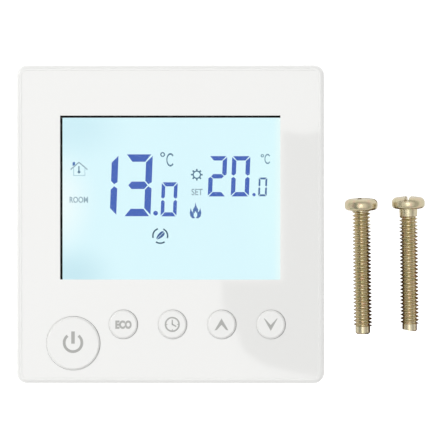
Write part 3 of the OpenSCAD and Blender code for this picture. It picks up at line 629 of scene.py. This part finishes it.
machine_screw("left", 53.9, 3.6, LEFT_LONG, neck=0.4, cut=0, slot_turn=12, yaw=0.8)
machine_screw("right", 67.5, 4.1, 35.7, neck=2.3, cut=-10, slot_turn=97, yaw=0.7)

# ---------------------------------------------------------------------------
# Studio
# A plain white floor, a large soft light overhead with a grey flag in front of
# it that draws a soft darker shape in the gloss, and one side light.


def stage_plane(name, outline, z, tone, strength):
    """A flat shape in metres that gives off a plain light."""
    bm = bmesh.new()
    bm.faces.new([bm.verts.new((px, py, z)) for px, py in outline])
    mesh = bpy.data.meshes.new(name)
    bm.to_mesh(mesh)
    bm.free()
    m, t, _ = shader(name + "_surface")
    show(t, add(t, "ShaderNodeEmission", {"Color": colour(tone), "Strength": strength}))
    mesh.materials.append(m)
    o = bpy.data.objects.new(name, mesh)
    bpy.context.collection.objects.link(o)
    return o


def oblong(left, right, low, high):
    return [(left, low), (right, low), (right, high), (left, high)]


floor = stage_plane("floor", oblong(-3, 3, -3, 3), -0.00005, "#ffffff", 1.3)
floor.visible_glossy = False
# dark cards seen only in reflections: painted shade standing in for the shaded floor under and between
# the screws, so that the flanks of the screws read as metal
for name, left, right, z, tone in (("painted_shade_card", 0.0495, 0.08, -0.00004, "#6a4a26"),
                                   ("painted_shade_between_screws", 0.0555, 0.0662, -0.00003, "#3a2410")):
    painted_shade_card = stage_plane(name, oblong(left, right, -0.05, 0.001), z, tone, 1.0)
    painted_shade_card.visible_camera = painted_shade_card.visible_diffuse = False
stage_plane("soft_light", oblong(-0.65, 0.45, -0.6, 0.5), 3.0, "#ffffff", 2.9)
# the flag's outline is given in millimetres where it shows in the face, then carried
# up to its own height along the mirrored view
eye, eye_mirror_z, view_far, flag_z = Vector((0.0545, 0.0211)), -1.4571, 1.5, 2.9
seen = [(14.5, -16.0), (14.7, -22.7), (19.1, -30.7), (20.3, -35.0), (23.9, -38.2), (28.6, -40.4),
        (33.7, -41.5), (41.0, -43.0), (44.5, -43.0), (44.5, 26.5), (37.4, 25.5), (31.8, 26.3),
        (31.8, -15.9)]
reach = (flag_z - eye_mirror_z) / view_far
flag = [tuple(eye + reach * (Vector(point) * MM - eye)) for point in seen]
stage_plane("grey_flag", flag, flag_z, "#ffffff", 0.7)

# the sky: bright at the horizon and overhead, dim in between
world = bpy.data.worlds.new("studio")
bpy.context.scene.world = world
world.use_nodes = True
t = world.node_tree
t.nodes.clear()
place = add(t, "ShaderNodeTexCoord")
split = add(t, "ShaderNodeSeparateXYZ", links={"Vector": (place, "Generated")})
side = add(t, "ShaderNodeVectorMath", {"operation": "DOT_PRODUCT", 1: (-0.25, 0.97, 0.0)},
           {0: (place, "Generated")})
low = add(t, "ShaderNodeMapRange",
          {"From Min": -1.0, "From Max": 1.0, "To Min": 0.86, "To Max": 0.94},
          {"Value": (side, "Value")})
rise = add(t, "ShaderNodeMapRange",
           {"interpolation_type": "SMOOTHSTEP", "From Min": 0.6, "From Max": 0.9},
           {"Value": (split, "Z")})
dip = add(t, "ShaderNodeMapRange",
          {"interpolation_type": "SMOOTHSTEP", "From Min": 0.12, "From Max": 0.45},
          {"Value": (split, "Z")})
middle = add(t, "ShaderNodeMix", {"data_type": "FLOAT", 3: 0.45}, {0: (dip, 0), 2: (low, 0)})
level = add(t, "ShaderNodeMix", {"data_type": "FLOAT", 3: 0.86}, {0: (rise, 0), 2: (middle, 0)})
sky = add(t, "ShaderNodeBackground", {"Color": (1, 1, 1, 1)}, {"Strength": (level, 0)})
add(t, "ShaderNodeOutputWorld", links={"Surface": (sky, 0)})

lamp = bpy.data.lights.new("side_light", "AREA")
lamp.energy, lamp.size, lamp.color = 3.65, 0.4, (1, 1, 1)
lamp_object = bpy.data.objects.new("side_light", lamp)
lamp_object.location = (-0.8, 0.33, 0.85)
lamp_object.rotation_euler = (-lamp_object.location).to_track_quat("-Z", "Y").to_euler()
bpy.context.collection.objects.link(lamp_object)

# a long lens straight above, a little to the right and up, with the object's +Y upward
camera = bpy.data.cameras.new("camera")
camera.lens, camera.clip_start, camera.clip_end = 427.2, 0.01, 50
camera_object = bpy.data.objects.new("camera", camera)
target = Vector((0.0152, 0.0001, 0.043))
aside, above = math.radians(1.5), math.radians(0.8)
offset = Vector((math.sin(aside), math.sin(above), math.cos(aside)))
camera_object.location = target + view_far * offset
back = (camera_object.location - target).normalized()
across = Vector((0, 1, 0)).cross(back).normalized()
camera_object.rotation_euler = Matrix((across, back.cross(across), back)).transposed().to_euler()
bpy.context.collection.objects.link(camera_object)
bpy.context.scene.camera = camera_object
bpy.context.scene.view_settings.view_transform = "Standard"
